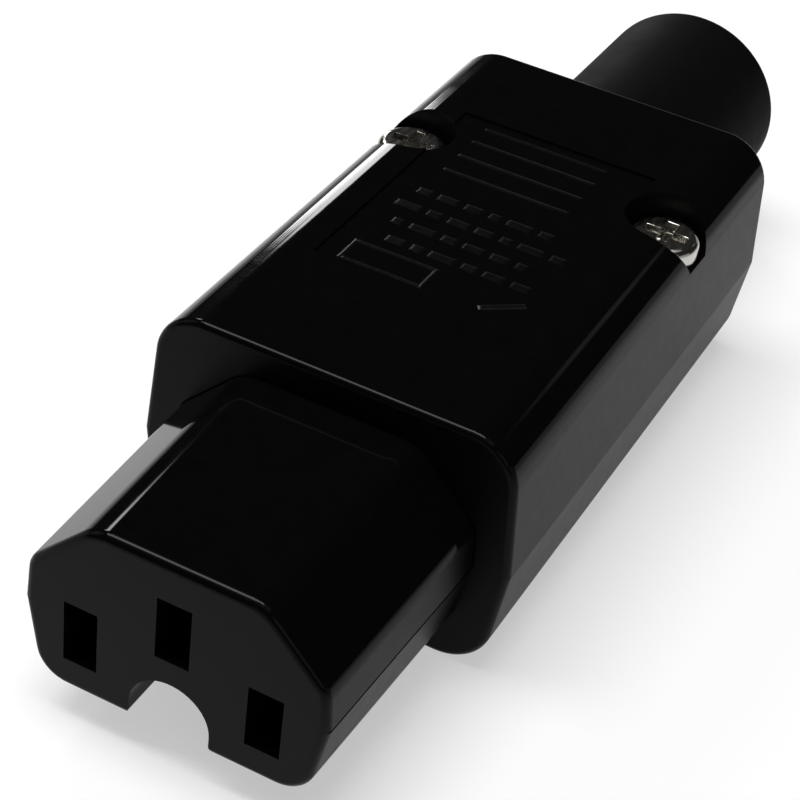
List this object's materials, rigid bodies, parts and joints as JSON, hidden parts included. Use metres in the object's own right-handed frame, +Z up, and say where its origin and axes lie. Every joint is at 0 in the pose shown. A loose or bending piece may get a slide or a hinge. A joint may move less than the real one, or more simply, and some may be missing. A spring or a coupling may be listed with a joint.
{
  "type": "rewirable appliance connector",
  "caption": "Black rewirable power connector with a notched, chamfered nose, flat pin slots, a screwed cover and a plain rubber cord sleeve.",
  "frame": {"origin": "middle of the mating face, halfway between the two outer slots", "axes": "+Y from the mating face back along the body to the cord sleeve, +Z up to the earth slot side, +X to the line slot side"},
  "size_m": [0.0298, 0.0904, 0.0203],
  "materials": {
    "shell": "polished black thermoset",
    "brass": "bright pressed brass",
    "spring": "plain spring steel",
    "screw": "bright nickel plated steel",
    "clamp": "plain moulded nylon",
    "sleeve": "smooth moulded rubber"
  },
  "bodies": {
    "root": {"base_shell": "shell", "cover_shell": "shell", "line_contact": "brass", "line_contact_spring": "spring", "line_clamp_washer": "screw", "line_terminal_screw": "screw", "neutral_contact": "brass", "neutral_contact_spring": "spring", "neutral_clamp_washer": "screw", "neutral_terminal_screw": "screw", "earth_contact": "brass", "earth_contact_spring": "spring", "earth_clamp_washer": "screw", "earth_terminal_screw": "screw", "housing_screw_left": "screw", "threaded_insert_left": "brass", "clamp_screw_left": "screw", "housing_screw_right": "screw", "threaded_insert_right": "brass", "clamp_screw_right": "screw", "cord_clamp": "clamp", "cord_sleeve": "sleeve"}
  },
  "joints": []
}
